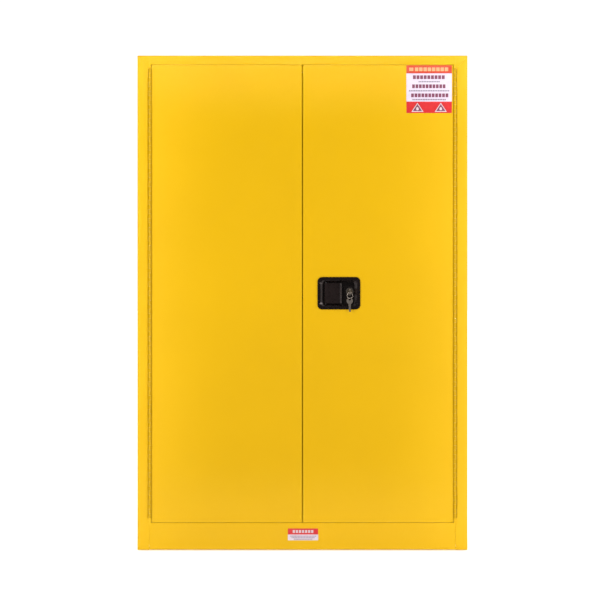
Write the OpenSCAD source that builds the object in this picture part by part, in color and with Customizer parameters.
// Two-door double-wall safety cabinet for flammable liquids.
// Millimetres. +X is the viewer's right, +Y goes from the doors to the back, +Z is up.
// The origin is on the floor, under the middle of the cabinet's outline.

/* [Cabinet] */
// Outside width, side sheet to side sheet
cab_w = 1090; // [1060:5:1140]
// Height from the floor to the top sheet
cab_h = 1635; // [1500:15:1800]
// Depth from the door face to the back sheet
cab_d = 460; // [450:5:560]
// Thickness of every folded sheet
sheet_t = 1.2; // [1:0.1:1.4]
// Insulating air space between the outer and inner walls
air_gap = 38; // [36:1:40]

/* [Front frame] */
// Width of the frame face beside each hinge
stile_w = 34; // [30:1:38]
// Height of the frame face above the doors
header_h = 30; // [25:1:32]
// Height from the floor to the top of the kick plate
plinth_h = 92; // [88:1:98]
// Depth of the pocket that the doors close into
rabbet_d = 48; // [48:1:52]

/* [Doors] */
// Thickness of a closed door
door_t = 45; // [45:1:46]
// Gap beside each door
door_gap = 3; // [2.8:0.1:4]
// Gap above each door
top_gap = 0.8; // [0.8:0.1:3]
// Gap below each door
sill_gap = 1.2; // [1:0.1:3]

/* [Hinges] */
// Radius of the hinge pin
pin_r = 2; // [1.5:0.1:2.2]
// Outside radius of a hinge knuckle
knuckle_r = 4.75; // [4:0.05:5]
// Length of one knuckle
knuckle_len = 15; // [14:1:16]
// How far the hinge pin stands in front of the door face
pin_proud = 1; // [0.8:0.1:2]

/* [Handle] */
// Middle of the handle, right of the cabinet's middle
handle_x = 120.5; // [110:0.5:140]
// Middle of the handle above the floor
handle_z = 850; // [800:5:950]
// Width of the handle's flange
flange_w = 141; // [138:1:150]
// Height of the handle's flange
flange_h = 107; // [105:1:115]
// Angle that the paddle is pulled through
paddle_swing = 30; // [25:1:30]

/* [Shelves] */
// Height of the lower shelf's supports above the floor
lower_shelf_z = 560; // [440:60:620]
// Height of the upper shelf's supports above the floor
upper_shelf_z = 1040; // [920:60:1100]
// Height of a shelf's upturned rim
rim_h = 15; // [10:1:20]

/* [Vents and feet] */
// Bore of a vent
vent_r = 25.4; // [24:0.2:26]
// Height of the lower vent above the floor
lower_vent_z = 170; // [165:5:250]
// Distance of the upper vent below the top
upper_vent_drop = 135; // [120:5:180]
// Radius of a foot pad
pad_r = 22; // [18:1:26]

/* [Hidden] */
$fn = 48;

paint = [0.95, 0.76, 0.12];
zinc = [0.72, 0.74, 0.76];
steel = [0.6, 0.61, 0.63];
black = [0.08, 0.08, 0.09];
brass = [0.78, 0.62, 0.3];

// Frame of the whole cabinet
half_w = cab_w / 2;
key_reach = 16;                          // the key stands this far in front of the doors
stud_reach = 18;                         // the earth stud stands this far behind the back
front = -(cab_d + stud_reach - key_reach) / 2;
back = front + cab_d;
skirt_z = 2;                             // clearance under the side sheets
kick_z = 3;                              // clearance under the kick plate
stile_x = half_w - stile_w;
seam_x = stile_x - 5;                    // the frame face is wider above and below the hinge
header_z = cab_h - header_h;
stop_t = sheet_t;
stop_y = front + rabbet_d - stop_t;      // front of the flange that the doors stop against
sill_top = plinth_h + 18;
header_stop_z = header_z - 20;
jamb_w = 27;

// Inner box
inner_x = half_w - 2 * sheet_t - air_gap;
inner_front = front + rabbet_d;
inner_back = back - 2 * sheet_t - air_gap;
inner_top = cab_h - 2 * sheet_t - air_gap;
base_z = 20;
floor_z = base_z + sheet_t + air_gap;
sump_clear = 0.2;

// Doors
door_z0 = plinth_h + sill_gap;
door_z1 = header_z - top_gap;
door_x0 = door_gap / 2;
door_x1 = stile_x - 14;
door_back = front + door_t;

// Hinges
pin_x = (stile_x + door_x1) / 2;
pin_y = front - pin_proud;
slot_z0 = plinth_h + 15;
slot_z1 = header_z - 12;
hinge_room = slot_z1 - slot_z0 - 1;
knuckles = floor(hinge_room / knuckle_len);
hinge_z0 = (slot_z0 + slot_z1 - knuckles * knuckle_len) / 2;
hinge_z1 = hinge_z0 + knuckles * knuckle_len;
leaf_t = 1.5;
leaf_d = 32;
running = 0.05;                          // radial clearance of a pin that turns in a bore

// Handle, measured from the middle of its flange on the door face
flange_t = 2.6;
recess_w = 102.8;
recess_h = 74;
recess_d = 26;
mouth = [18, 13];                        // how much wider and higher the sloping mouth is
lip_r = 3.5;                             // of the roll along the paddle's free edge
tray_t = 1.5;
stud_x = 62;
stud_z = 45;
paddle_x0 = -47;
paddle_x1 = 9;
paddle_hh = 33.4;
paddle_y = 0.6;
pivot = [-43.5, 8];                      // the paddle's pin, in x and y
lug_z = [-27, -21];
rotor_at = [-38, 14];                    // the rotor's stud, in x and z
rotor_y = [29, 31.5];
rotor_swing = 0.75 * paddle_swing;
rod_arm = 32;
bolt_arm = 26;
rod_y = 37.5;
rod_r = 4;
bolt_r = 5.5;
crank_r = 2.5;
slot_r = crank_r + 0.4;
rod_reach = 12.5;                        // the rods stand this far into the frame
bolt_reach = 10;
lock_at = [36, 5];                       // the lock's axis, in x and z
boss_y = 16;                             // face of the raised pad round the lock
lock_y = 12;
key_t = 2.2;
bow_r = 11;
bow_hole_r = 4;
bow_hole_z = 5;                          // from the middle of the bow
bow_y = bow_r - key_reach;
wire_r = 0.9;
ring_r = 10;
ring_turn = 25;
ring_drop = bow_hole_r - wire_r - 0.6;
ring_z = -ring_drop - ring_r;
spare_z = ring_z - ring_r - ring_drop;

// Shelves
standard_x = inner_x - 10;
standard_y = [inner_front + 62, inner_back - 50];
standard_z = [150, inner_top - 35];
slot_pitch = 60;
shelf_x = standard_x - 3;
shelf_y = [inner_front + 14, inner_back - 8];
shelf_t = 1.5;

// Vents, earth stud and feet
upper_vent_z = cab_h - upper_vent_drop;
vent_y = 60;
neck_r = vent_r + 2.6;
neck_out = 1.5;
plug_len = 20;
earth_at = [430, 150];                   // the earth stud, in x and z
foot_x = half_w - 55;
foot_y = [front + 62, back - 48];
foot_r = 5;

module block(lo, hi) { translate(lo) cube(hi - lo); }
module on_side(side) { mirror([side < 0 ? 1 : 0, 0, 0]) children(); }
module along_x(x, y, z, r, l) { translate([x, y, z]) rotate([0, 90, 0]) cylinder(r = r, h = l); }
module along_y(x, y, z, r, l) { translate([x, y, z]) rotate([-90, 0, 0]) cylinder(r = r, h = l); }
module along_z(x, y, z, r, l) { translate([x, y, z]) cylinder(r = r, h = l); }
module hex_z(x, y, z, r, l) { translate([x, y, z]) cylinder(r = r, h = l, $fn = 6); }

// A 2D outline laid in the plane of the doors and thickened from y0 to y1
module slab_y(y0, y1) { translate([0, y1, 0]) rotate([90, 0, 0]) linear_extrude(y1 - y0) children(); }

module rounded(w, h, r) {
    square([w - 2 * r, h], center = true);
    square([w, h - 2 * r], center = true);
    for (x = [-1, 1], z = [-1, 1])
        translate([x * (w / 2 - r), z * (h / 2 - r)]) circle(r);
}

module at_handle() { translate([handle_x, front, handle_z]) children(); }
module at_feet() { for (x = [-foot_x, foot_x], y = foot_y) translate([x, y, 0]) children(); }

// ---- Outer shell ----

module side_panel(side, vent_z) {
    color(paint) on_side(side) difference() {
        union() {
            block([half_w - sheet_t, front, skirt_z], [half_w, back - sheet_t, cab_h]);
            block([stile_x, front, skirt_z], [half_w, front + sheet_t, cab_h - sheet_t]);
            for (z = [[skirt_z, slot_z0], [slot_z1, cab_h - sheet_t]])
                block([seam_x, front, z[0]], [half_w, front + sheet_t, z[1]]);
            block([stile_x, front, plinth_h], [stile_x + sheet_t, front + rabbet_d, header_z]);
            block([half_w - 20, back - 2 * sheet_t, skirt_z],
                  [half_w, back - sheet_t, cab_h - sheet_t]);
        }
        along_x(half_w - 5, vent_y, vent_z, neck_r + 0.3, 10);
    }
}

module top_panel() {
    color(paint) {
        block([-half_w + sheet_t, front, cab_h - sheet_t], [half_w - sheet_t, back - sheet_t, cab_h]);
        block([-half_w + 21, back - 2 * sheet_t, cab_h - 20],
              [half_w - 21, back - sheet_t, cab_h - sheet_t]);
    }
}

module back_panel() {
    color(paint) difference() {
        block([-half_w, back - sheet_t, skirt_z], [half_w, back, cab_h]);
        along_y(earth_at[0], back - 5, earth_at[1], 5.2, 10);
    }
}

module base_panel() {
    color(paint) difference() {
        block([-half_w + sheet_t, front + sheet_t, base_z],
              [half_w - sheet_t, back - 2 * sheet_t, base_z + sheet_t]);
        at_feet() along_z(0, 0, base_z - 1, foot_r + 0.5, 4);
    }
}

module header_rail() {
    color(paint) difference() {
        union() {
            block([-seam_x, front, header_z], [seam_x, front + sheet_t, cab_h - sheet_t]);
            block([-stile_x - sheet_t, front + sheet_t, header_z],
                  [stile_x + sheet_t, front + rabbet_d, header_z + sheet_t]);
            block([-stile_x - sheet_t, stop_y, header_stop_z],
                  [stile_x + sheet_t, front + rabbet_d, header_z + sheet_t]);
            for (side = [-1, 1]) on_side(side)
                block([door_x1 + 2.5, front, slot_z1], [seam_x, front + sheet_t, header_z + 1]);
        }
        along_z(handle_x + rotor_at[0] - rod_arm, front + rod_y, header_z - 5, bolt_r + 1, 12);
        for (side = [-1, 1]) on_side(side)
            block([stile_x, stop_y - 60, header_z - 30], [stile_x + 9, front + rabbet_d + 1, header_z]);
    }
}

module kick_plate() {
    kick_x = seam_x - 0.3;
    color(paint) difference() {
        union() {
            block([-kick_x, front, kick_z], [kick_x, front + sheet_t, plinth_h]);
            block([-kick_x, front, kick_z], [kick_x, front + 26, kick_z + sheet_t]);
            block([-stile_x - sheet_t, front + sheet_t, plinth_h - sheet_t],
                  [stile_x + sheet_t, front + rabbet_d, plinth_h]);
            block([-stile_x, stop_y, plinth_h - sheet_t], [stile_x, front + rabbet_d, sill_top]);
            for (side = [-1, 1]) on_side(side)
                block([door_x1 + 2.5, front, plinth_h - 1], [seam_x, front + sheet_t, slot_z0]);
        }
        along_z(handle_x + rotor_at[0] + rod_arm, front + rod_y, plinth_h - 5, bolt_r + 1, 12);
    }
}

module door_jambs() {
    color(paint) for (side = [-1, 1]) on_side(side) {
        block([stile_x - jamb_w, stop_y, sill_top], [stile_x, front + rabbet_d, header_stop_z]);
        block([stile_x - jamb_w, stop_y, sill_top],
              [stile_x - jamb_w + sheet_t, front + rabbet_d + 10, header_stop_z]);
    }
}

// ---- Inner box ----

module inner_wall(side, vent_z) {
    color(paint) on_side(side) difference() {
        block([inner_x, inner_front, floor_z + sheet_t], [inner_x + sheet_t, inner_back, inner_top]);
        along_x(inner_x - 5, vent_y, vent_z, neck_r + 0.3, 10);
    }
}

module inner_back_wall() {
    color(paint) block([-inner_x - sheet_t, inner_back, floor_z + sheet_t],
                       [inner_x + sheet_t, inner_back + sheet_t, inner_top]);
}

module inner_ceiling() {
    color(paint) block([-inner_x - sheet_t, inner_front, inner_top],
                       [inner_x + sheet_t, inner_back + sheet_t, inner_top + sheet_t]);
}

module inner_floor() {
    color(paint) block([-inner_x - sheet_t, inner_front, floor_z],
                       [inner_x + sheet_t, inner_back + sheet_t, floor_z + sheet_t]);
}

module sump_tray() {
    x = inner_x - sump_clear;
    y = [inner_front + sump_clear, inner_back - sump_clear];
    z = floor_z + sheet_t;
    color(paint) difference() {
        block([-x, y[0], z], [x, y[1], sill_top]);
        block([-x + sheet_t, y[0] + sheet_t, z + sheet_t], [x - sheet_t, y[1] - sheet_t, sill_top + 1]);
    }
}

// ---- Shelving ----

// One slotted channel on a side wall, with its slots every slot_pitch
module standard(y) {
    slots = floor((standard_z[1] - standard_z[0] - 20) / slot_pitch);
    difference() {
        block([standard_x, y - 15, standard_z[0]], [inner_x, y + 15, standard_z[1]]);
        block([standard_x + sheet_t, y - 15 + sheet_t, standard_z[0] - 1],
              [inner_x + 1, y + 15 - sheet_t, standard_z[1] + 1]);
        for (i = [0:slots]) translate([0, 0, standard_z[0] + 15 + i * slot_pitch])
            block([standard_x - 1, y - 2.5, -8], [standard_x + 3, y + 2.5, 8]);
    }
}

module shelf_standards() {
    color(zinc) for (side = [-1, 1], y = standard_y) on_side(side) standard(y);
}

// A clip: a ledge on a backing plate, with a hook down behind the channel's web
module shelf_clip(y, z) {
    slot_z = standard_z[0] + 15 + floor((z - 10 - standard_z[0] - 15) / slot_pitch) * slot_pitch;
    block([standard_x - 2, y - 10, slot_z - 18], [standard_x, y + 10, z]);
    block([standard_x - 26, y - 12, z - 2], [standard_x, y + 12, z]);
    translate([0, y + 1, 0]) rotate([90, 0, 0]) linear_extrude(2)
        polygon([[standard_x - 24, z - 1], [standard_x - 1, z - 1], [standard_x - 1, slot_z - 14]]);
    block([standard_x - 1, y - 2, slot_z - 8], [standard_x + 4, y + 2, slot_z + 5]);
    block([standard_x + 2, y - 2, slot_z - 12], [standard_x + 4, y + 2, slot_z + 5]);
}

module shelf_clips() {
    color(zinc) for (side = [-1, 1], y = standard_y, z = [lower_shelf_z, upper_shelf_z])
        on_side(side) shelf_clip(y, z);
}

module shelf(z) {
    color(zinc) difference() {
        block([-shelf_x, shelf_y[0], z], [shelf_x, shelf_y[1], z + rim_h]);
        block([-shelf_x + shelf_t, shelf_y[0] + shelf_t, z + shelf_t],
              [shelf_x - shelf_t, shelf_y[1] - shelf_t, z + rim_h + 1]);
    }
}

// The hat-shaped stiffener under a shelf
module shelf_channel(z) {
    y = (shelf_y[0] + shelf_y[1]) / 2;
    color(zinc) translate([-shelf_x + 45, 0, 0]) rotate([90, 0, 90]) linear_extrude(2 * shelf_x - 90)
        translate([y, z]) polygon([
            [-40, 0], [-24, 0], [-24, -18], [24, -18], [24, 0], [40, 0],
            [40, -1.2], [25.2, -1.2], [25.2, -19.2], [-25.2, -19.2], [-25.2, -1.2], [-40, -1.2]
        ]);
}

// ---- Vents and earthing ----

module vent_neck(side, z) {
    color(steel) on_side(side) difference() {
        union() {
            along_x(inner_x - 2, vent_y, z, neck_r, half_w + neck_out - inner_x + 2);
            along_x(half_w, vent_y, z, neck_r + 8, neck_out);
            along_x(inner_x - 2, vent_y, z, neck_r + 8, 2);
        }
        along_x(inner_x - 5, vent_y, z, vent_r, 80);
    }
}

// A perforated disc in each neck, with its holes in rings
module flame_arrester(side, z) {
    on_side(side) difference() {
        along_x(inner_x + 2, vent_y, z, vent_r - 0.1, 2);
        for (ring = [1:4], i = [0:6 * ring - 1]) {
            a = 360 * i / (6 * ring);
            along_x(inner_x, vent_y + 5.4 * ring * cos(a), z + 5.4 * ring * sin(a), 1.7, 6);
        }
        along_x(inner_x, vent_y, z, 1.7, 6);
    }
}

module flame_arresters() {
    color(brass) {
        flame_arrester(1, upper_vent_z);
        flame_arrester(-1, lower_vent_z);
    }
}

// A screw plug flush with the neck's end, with a crossbar to turn it by
module vent_plug(side, z) {
    x = half_w + neck_out;
    color(black) on_side(side) difference() {
        along_x(x - plug_len, vent_y, z, vent_r - running, plug_len);
        difference() {
            along_x(x - 12, vent_y, z, vent_r - 4, 20);
            block([x - 13, vent_y - 4, z - vent_r], [x - 1, vent_y + 4, z + vent_r]);
        }
    }
}

module earth_stud() {
    color(brass) {
        along_y(earth_at[0], back - 6, earth_at[1], 5, 16);
        along_y(earth_at[0], back + 9, earth_at[1], 4, stud_reach - 9);
        along_y(earth_at[0], back - 6, earth_at[1], 9, 6 - sheet_t);
    }
}

module earth_nut() {
    color(brass) difference() {
        union() {
            along_y(earth_at[0], back, earth_at[1], 10, 1.6);
            translate([earth_at[0], back + 1.6, earth_at[1]]) rotate([-90, 0, 0])
                cylinder(r = 9.2, h = 7, $fn = 6);
        }
        along_y(earth_at[0], back - 1, earth_at[1], 5 + running, 12);
    }
}

// ---- Levelling feet ----

// Above the base a welded bush, and below it a lock nut
module foot_nuts() {
    color(steel) at_feet() {
        difference() {
            along_z(0, 0, base_z + sheet_t, 10, 12);
            along_z(0, 0, base_z, foot_r + running, 20);
        }
        difference() {
            hex_z(0, 0, base_z - 7, 9.8, 7);
            along_z(0, 0, base_z - 8, foot_r + running, 12);
        }
    }
}

module foot(sx, y) {
    translate([sx * foot_x, y, 0]) {
        color(black) along_z(0, 0, 0, pad_r, 6);
        color(steel) {
            translate([0, 0, 6]) cylinder(r1 = 13, r2 = 8, h = 5);
            along_z(0, 0, 5, foot_r, floor_z - 8);
        }
    }
}

// ---- Hinges ----

// One leaf of a piano hinge. x is the leaf's outer face, turn is +1 on the frame and -1 on the door,
// and first is the number of its lowest knuckle.
module hinge_leaf(side, x, turn, first) {
    web_y = [pin_y + (turn > 0 ? 2.4 : 1.2), pin_y + 4.2];
    color(paint) on_side(side) difference() {
        union() {
            block([min(x, x - turn * leaf_t), front + 0.5, hinge_z0],
                  [max(x, x - turn * leaf_t), front + 0.5 + leaf_d, hinge_z1]);
            for (i = [first:2:knuckles - 1]) {
                z = [hinge_z0 + i * knuckle_len + 0.2, hinge_z0 + (i + 1) * knuckle_len - 0.2];
                inner = pin_x + turn;
                outer = x - turn * 0.7;
                along_z(pin_x, pin_y, z[0], knuckle_r, z[1] - z[0]);
                block([min(inner, outer), web_y[0], z[0]], [max(inner, outer), web_y[1], z[1]]);
            }
        }
        along_z(pin_x, pin_y, hinge_z0 - 1, pin_r + running, hinge_z1 - hinge_z0 + 2);
    }
}

module hinge_pin(side) {
    color(steel) along_z(side * pin_x, pin_y, hinge_z0, pin_r, hinge_z1 - hinge_z0);
}

// ---- Doors ----

// The outer pan of a door, open at the back
module door_pan() {
    difference() {
        block([door_x0, front, door_z0], [door_x1, door_back - sheet_t, door_z1]);
        block([door_x0 + sheet_t, front + sheet_t, door_z0 + sheet_t],
              [door_x1 - sheet_t, door_back, door_z1 - sheet_t]);
    }
}

module door_liner(side) {
    color(paint) on_side(side)
        block([door_x0, door_back - sheet_t, door_z0], [door_x1, door_back, door_z1]);
}

module left_door_skin() {
    color(paint) difference() {
        on_side(-1) door_pan();
        along_x(-door_x0 - 5, front + rod_y - 1, handle_z + rotor_at[1] - bolt_arm, bolt_r + 0.7, 10);
    }
}

// The flange that seals the gap between the doors from behind
module meeting_flange() {
    z = [sill_top + 3, header_stop_z - 3];
    color(paint) {
        block([-26, door_back, z[0]], [-3, door_back + 1.5, z[1]]);
        block([-5, door_back + 0.6, z[0]], [22, door_back + 2.1, z[1]]);
        block([20.5, door_back + 0.6, z[0]], [22, door_back + 8, z[1]]);
    }
}

module right_door_skin() {
    color(paint) difference() {
        door_pan();
        at_handle() {
            slab_y(-1, 3) rounded(recess_w + mouth[0] + 4, recess_h + mouth[1] + 4, 15);
            for (x = [-stud_x, stud_x], z = [-stud_z, stud_z]) along_y(x, -1, z, 2.8, 4);
            along_z(rotor_at[0] - rod_arm, rod_y, door_z1 - handle_z - 5, bolt_r + 0.3, 10);
            along_z(rotor_at[0] + rod_arm, rod_y, door_z0 - handle_z - 5, bolt_r + 0.3, 10);
            along_x(-handle_x - 5, rod_y - 1, rotor_at[1] - bolt_arm, bolt_r - 0.2, 15);
        }
    }
}

// ---- Handle ----

module handle_tray() {
    color(black) at_handle() difference() {
        union() {
            slab_y(-flange_t, 0) rounded(flange_w, flange_h, 15);
            slab_y(-1, 6.5) rounded(recess_w + mouth[0] + 2, recess_h + mouth[1] + 2, 14);
            slab_y(-1, recess_d) rounded(recess_w + 2 * tray_t, recess_h + 2 * tray_t, 9.5);
            for (x = [-stud_x, stud_x], z = [-stud_z, stud_z]) along_y(x, -1, z, 2.5, 11);
            along_y(rotor_at[0], recess_d - 1, rotor_at[1], 3, 9.5);
        }
        difference() {
            slab_y(-flange_t - 1, recess_d - tray_t) rounded(recess_w, recess_h, 8);
            slab_y(boss_y, recess_d) translate([lock_at[0] - 3, lock_at[1] - 11]) rounded(34, 62, 5);
        }
        hull() {
            slab_y(-flange_t - 0.01, -flange_t) rounded(recess_w + mouth[0], recess_h + mouth[1], 13);
            slab_y(5, 5.01) rounded(recess_w, recess_h, 8);
        }
        block([-48.5, recess_d - 4, lug_z[0] - 1], [-24, recess_d + 1, lug_z[1] + 1]);
        along_y(lock_at[0], boss_y - 1, lock_at[1], 11 + running, 12);
        along_z(pivot[0], pivot[1], -recess_h, pin_r + running, 2 * recess_h);
    }
}

module handle_nuts() {
    color(steel) at_handle() for (x = [-stud_x, stud_x], z = [-stud_z, stud_z]) difference() {
        translate([x, sheet_t, z]) rotate([-90, 0, 0]) cylinder(r = 5.2, h = 4.5, $fn = 6);
        along_y(x, 0, z, 2.5 + running, 8);
    }
}

module paddle() {
    color(black) at_handle() difference() {
        union() {
            block([paddle_x0, paddle_y, -paddle_hh], [paddle_x1 - lip_r, paddle_y + 2.5, paddle_hh]);
            along_z(paddle_x1 - lip_r, paddle_y - 0.7, -paddle_hh, lip_r, 2 * paddle_hh);
            for (z = [[-paddle_hh, 2 - paddle_hh], [paddle_hh - 2, paddle_hh]])
                block([paddle_x0, paddle_y, z[0]], [-38, 13, z[1]]);
            block([paddle_x0, paddle_y, lug_z[0]], [-39.5, 14, lug_z[1]]);
            block([-46, 13, lug_z[0]], [-41, 35, lug_z[1]]);
        }
        along_z(pivot[0], pivot[1], -50, pin_r + running, 100);
    }
}

module paddle_pin() {
    color(steel) at_handle() along_z(pivot[0], pivot[1], -recess_h / 2 - tray_t - 1, pin_r,
                                     recess_h + 2 * tray_t + 2);
}

// A wire of radius w wound at radius r from the angle start, with a straight leg at each end
module coil(r, w, pitch, turns, start, legs, steps = 16, sides = 8) {
    count = turns * steps;
    points = [for (i = [-1:count + 1], j = [0:sides - 1])
        let (k = min(max(i, 0), count), a = start + 360 * k / steps, b = 360 * j / sides,
             leg = i < 0 ? legs[0] : i > count ? legs[1] : [0, 0, 0])
        leg + [(r + w * cos(b)) * cos(a), (r + w * cos(b)) * sin(a), pitch * k / steps + w * sin(b)]];
    walls = [for (i = [0:count + 1], j = [0:sides - 1]) let (k = (j + 1) % sides)
        each [[i * sides + j, i * sides + k, (i + 1) * sides + k],
              [i * sides + j, (i + 1) * sides + k, (i + 1) * sides + j]]];
    polyhedron(points, concat(walls, [
        [for (j = [sides - 1:-1:0]) j],
        [for (j = [0:sides - 1]) (count + 2) * sides + j]
    ]));
}

module paddle_spring() {
    floor_y = recess_d - tray_t - pivot[1];
    color(steel) at_handle() translate([pivot[0], pivot[1], 2])
        coil(r = 3.4, w = 0.6, pitch = 1.7, turns = 6.25, start = 180,
             legs = [[0, floor_y, 0], [14, 0, 0]]);
}

// The plate behind the tray that turns the paddle's pull into the three bolts' travel
module latch_rotor() {
    arm_w = 14;
    color(steel) at_handle() slab_y(rotor_y[0], rotor_y[1]) translate(rotor_at) difference() {
        union() {
            circle(11);
            for (side = [-1, 1])
                translate([side < 0 ? -rod_arm - 7 : 0, -arm_w / 2]) square([rod_arm + 7, arm_w]);
            translate([-arm_w / 2, -bolt_arm - 7]) square([arm_w, bolt_arm + 7]);
            translate([-2.5, -43]) square([5, 20]);
        }
        circle(3 + running);
        for (side = [-1, 1]) crank_slot(rod_arm, side < 0 ? 180 : 0);
        crank_slot(bolt_arm, -90);
    }
}

// The slot that lets a crank pin keep to its straight line while the rotor turns
module crank_slot(arm, turn) {
    far = arm / cos(rotor_swing) + 0.4;
    rotate(turn) {
        translate([arm - 0.4, 0]) circle(slot_r);
        translate([far, 0]) circle(slot_r);
        translate([arm - 0.4, -slot_r]) square([far - arm + 0.4, 2 * slot_r]);
    }
}

// A rod from the rotor to the door's edge, up for way = 1 and down for way = -1
module latch_rod(way) {
    x = rotor_at[0] - way * rod_arm;
    tip = way > 0 ? door_z1 - handle_z + rod_reach - bolt_r : handle_z - door_z0 + rod_reach - bolt_r;
    start = way * rotor_at[1];
    color(steel) at_handle() mirror([0, 0, way < 0 ? 1 : 0]) {
        along_z(x, rod_y, start - 3, rod_r, tip - start - 20);
        along_z(x, rod_y, tip - 70, bolt_r, 70);
        translate([x, rod_y, tip]) sphere(bolt_r);
        along_y(x, rotor_y[0] - 1, start, crank_r, rod_y - rotor_y[0] + 1);
    }
}

module centre_bolt() {
    x = rotor_at[0];
    z = rotor_at[1] - bolt_arm;
    reach = -handle_x + door_x0 - bolt_reach;
    color(steel) at_handle() {
        along_x(reach + 5, rod_y - 1, z, bolt_r - 0.5, x - reach - 5 + 5);
        translate([reach + 5, rod_y - 1, z]) sphere(bolt_r - 0.5);
        along_y(x, rotor_y[0] - 1, z, crank_r, rod_y - rotor_y[0]);
    }
}

// Brackets on the door skin that keep the three bolts in line
module bolt_guides() {
    color(zinc) at_handle() {
        for (way = [-1, 1]) mirror([0, 0, way < 0 ? 1 : 0])
            bolt_guide(rotor_at[0] - way * rod_arm, 420, rod_y, rod_r + 0.3);
        translate([0, 0, rotor_at[1] - bolt_arm]) rotate([0, 90, 0])
            bolt_guide(0, rotor_at[0] - 57, rod_y - 1, bolt_r - 0.2);
    }
}

module bolt_guide(x, z, y, r) {
    difference() {
        union() {
            block([x - 11, sheet_t, z], [x + 11, door_t - 2 * sheet_t, z + 3]);
            block([x - 11, sheet_t, z], [x + 11, sheet_t + 2, z + 18]);
        }
        along_z(x, y, z - 1, r, 5);
    }
}

// ---- Lock ----

module at_lock() { at_handle() translate([lock_at[0], 0, lock_at[1]]) children(); }

module lock_body() {
    color(steel) at_lock() difference() {
        union() {
            along_y(0, lock_y, 0, 13, boss_y - lock_y);
            along_y(0, lock_y, 0, 11, 22);
            translate([0, recess_d, 0]) rotate([-90, 0, 0]) cylinder(r = 15, h = 4, $fn = 6);
        }
        along_y(0, lock_y - 1, 0, 8, 40);
    }
}

// A barrel with a slot for the key, and a cam on its tail
module lock_plug() {
    cam_y = lock_y + 24.5;
    color(brass) at_lock() difference() {
        union() {
            along_y(0, lock_y + 0.5, 0, 8 - running, 24);
            slab_y(cam_y, cam_y + 2.5) {
                circle(7);
                translate([-5, 0]) square([10, 26]);
            }
        }
        block([-key_t / 2, lock_y - 1, -3.7], [key_t / 2, cam_y - 4, 3.7]);
    }
}

// A flat key with its bow's hole at the origin, its bow below that and its blade down
module key_blank() {
    translate([0, -bow_hole_z]) difference() {
        union() {
            circle(bow_r);
            translate([-4.2, -17]) square([8.4, 10]);
            translate([-3.5, -36]) square([7, 20]);
        }
        translate([0, bow_hole_z]) circle(bow_hole_r);
        for (i = [0:3]) translate([4.2, -19 - 4.5 * i]) circle(1.4 + 0.3 * (i % 2));
    }
}

module key() {
    color(zinc) at_lock() translate([-key_t / 2, bow_y - bow_hole_z, 0]) rotate([90, 0, 90])
        linear_extrude(key_t) rotate(90) key_blank();
}

module key_ring() {
    color(steel) at_lock() translate([0, bow_y - bow_hole_z, ring_z]) rotate([90, 0, ring_turn])
        rotate_extrude() translate([ring_r, 0]) circle(wire_r, $fn = 24);
}

module spare_key() {
    color(zinc) at_lock() translate([0, bow_y - bow_hole_z, spare_z]) rotate([0, 0, ring_turn + 45])
        translate([-key_t / 2, 0, 0]) rotate([90, 0, 90]) linear_extrude(key_t) key_blank();
}

// ---- Labels ----

module hazard_label() {
    x = door_x1 - 3.5;
    z = door_z1 - 1;
    color("white") block([x - 150, front - 0.3, z - 158], [x, front, z]);
}

module caution_label() {
    color("white") block([-48, front - 0.3, 34], [52, front, 73]);
}

side_panel(-1, lower_vent_z);  // left_side_panel
side_panel(1, upper_vent_z);  // right_side_panel
top_panel();
back_panel();
base_panel();
header_rail();
kick_plate();
door_jambs();
inner_wall(-1, lower_vent_z);  // inner_left_wall
inner_wall(1, upper_vent_z);  // inner_right_wall
inner_back_wall();
inner_ceiling();
inner_floor();
sump_tray();
shelf_standards();
shelf_clips();
shelf(upper_shelf_z);  // upper_shelf
shelf_channel(upper_shelf_z);  // upper_shelf_channel
shelf(lower_shelf_z);  // lower_shelf
shelf_channel(lower_shelf_z);  // lower_shelf_channel
vent_neck(1, upper_vent_z);  // upper_vent_neck
vent_neck(-1, lower_vent_z);  // lower_vent_neck
flame_arresters();
vent_plug(1, upper_vent_z);  // upper_vent_plug
vent_plug(-1, lower_vent_z);  // lower_vent_plug
earth_stud();
earth_nut();
foot_nuts();
foot(-1, foot_y[0]);  // foot_front_left
foot(1, foot_y[0]);  // foot_front_right
foot(-1, foot_y[1]);  // foot_back_left
foot(1, foot_y[1]);  // foot_back_right
hinge_leaf(-1, stile_x, 1, 0);  // left_hinge_frame_leaf
hinge_leaf(1, stile_x, 1, 0);  // right_hinge_frame_leaf
hinge_pin(-1);  // left_hinge_pin
hinge_pin(1);  // right_hinge_pin
left_door_skin();
door_liner(-1);  // left_door_liner
hinge_leaf(-1, door_x1, -1, 1);  // left_hinge_door_leaf
meeting_flange();
right_door_skin();
door_liner(1);  // right_door_liner
hinge_leaf(1, door_x1, -1, 1);  // right_hinge_door_leaf
handle_tray();
handle_nuts();
paddle();
paddle_pin();
paddle_spring();
latch_rotor();
latch_rod(1);  // upper_bolt
latch_rod(-1);  // lower_bolt
centre_bolt();
bolt_guides();
lock_body();
lock_plug();
key();
key_ring();
spare_key();
hazard_label();
caution_label();
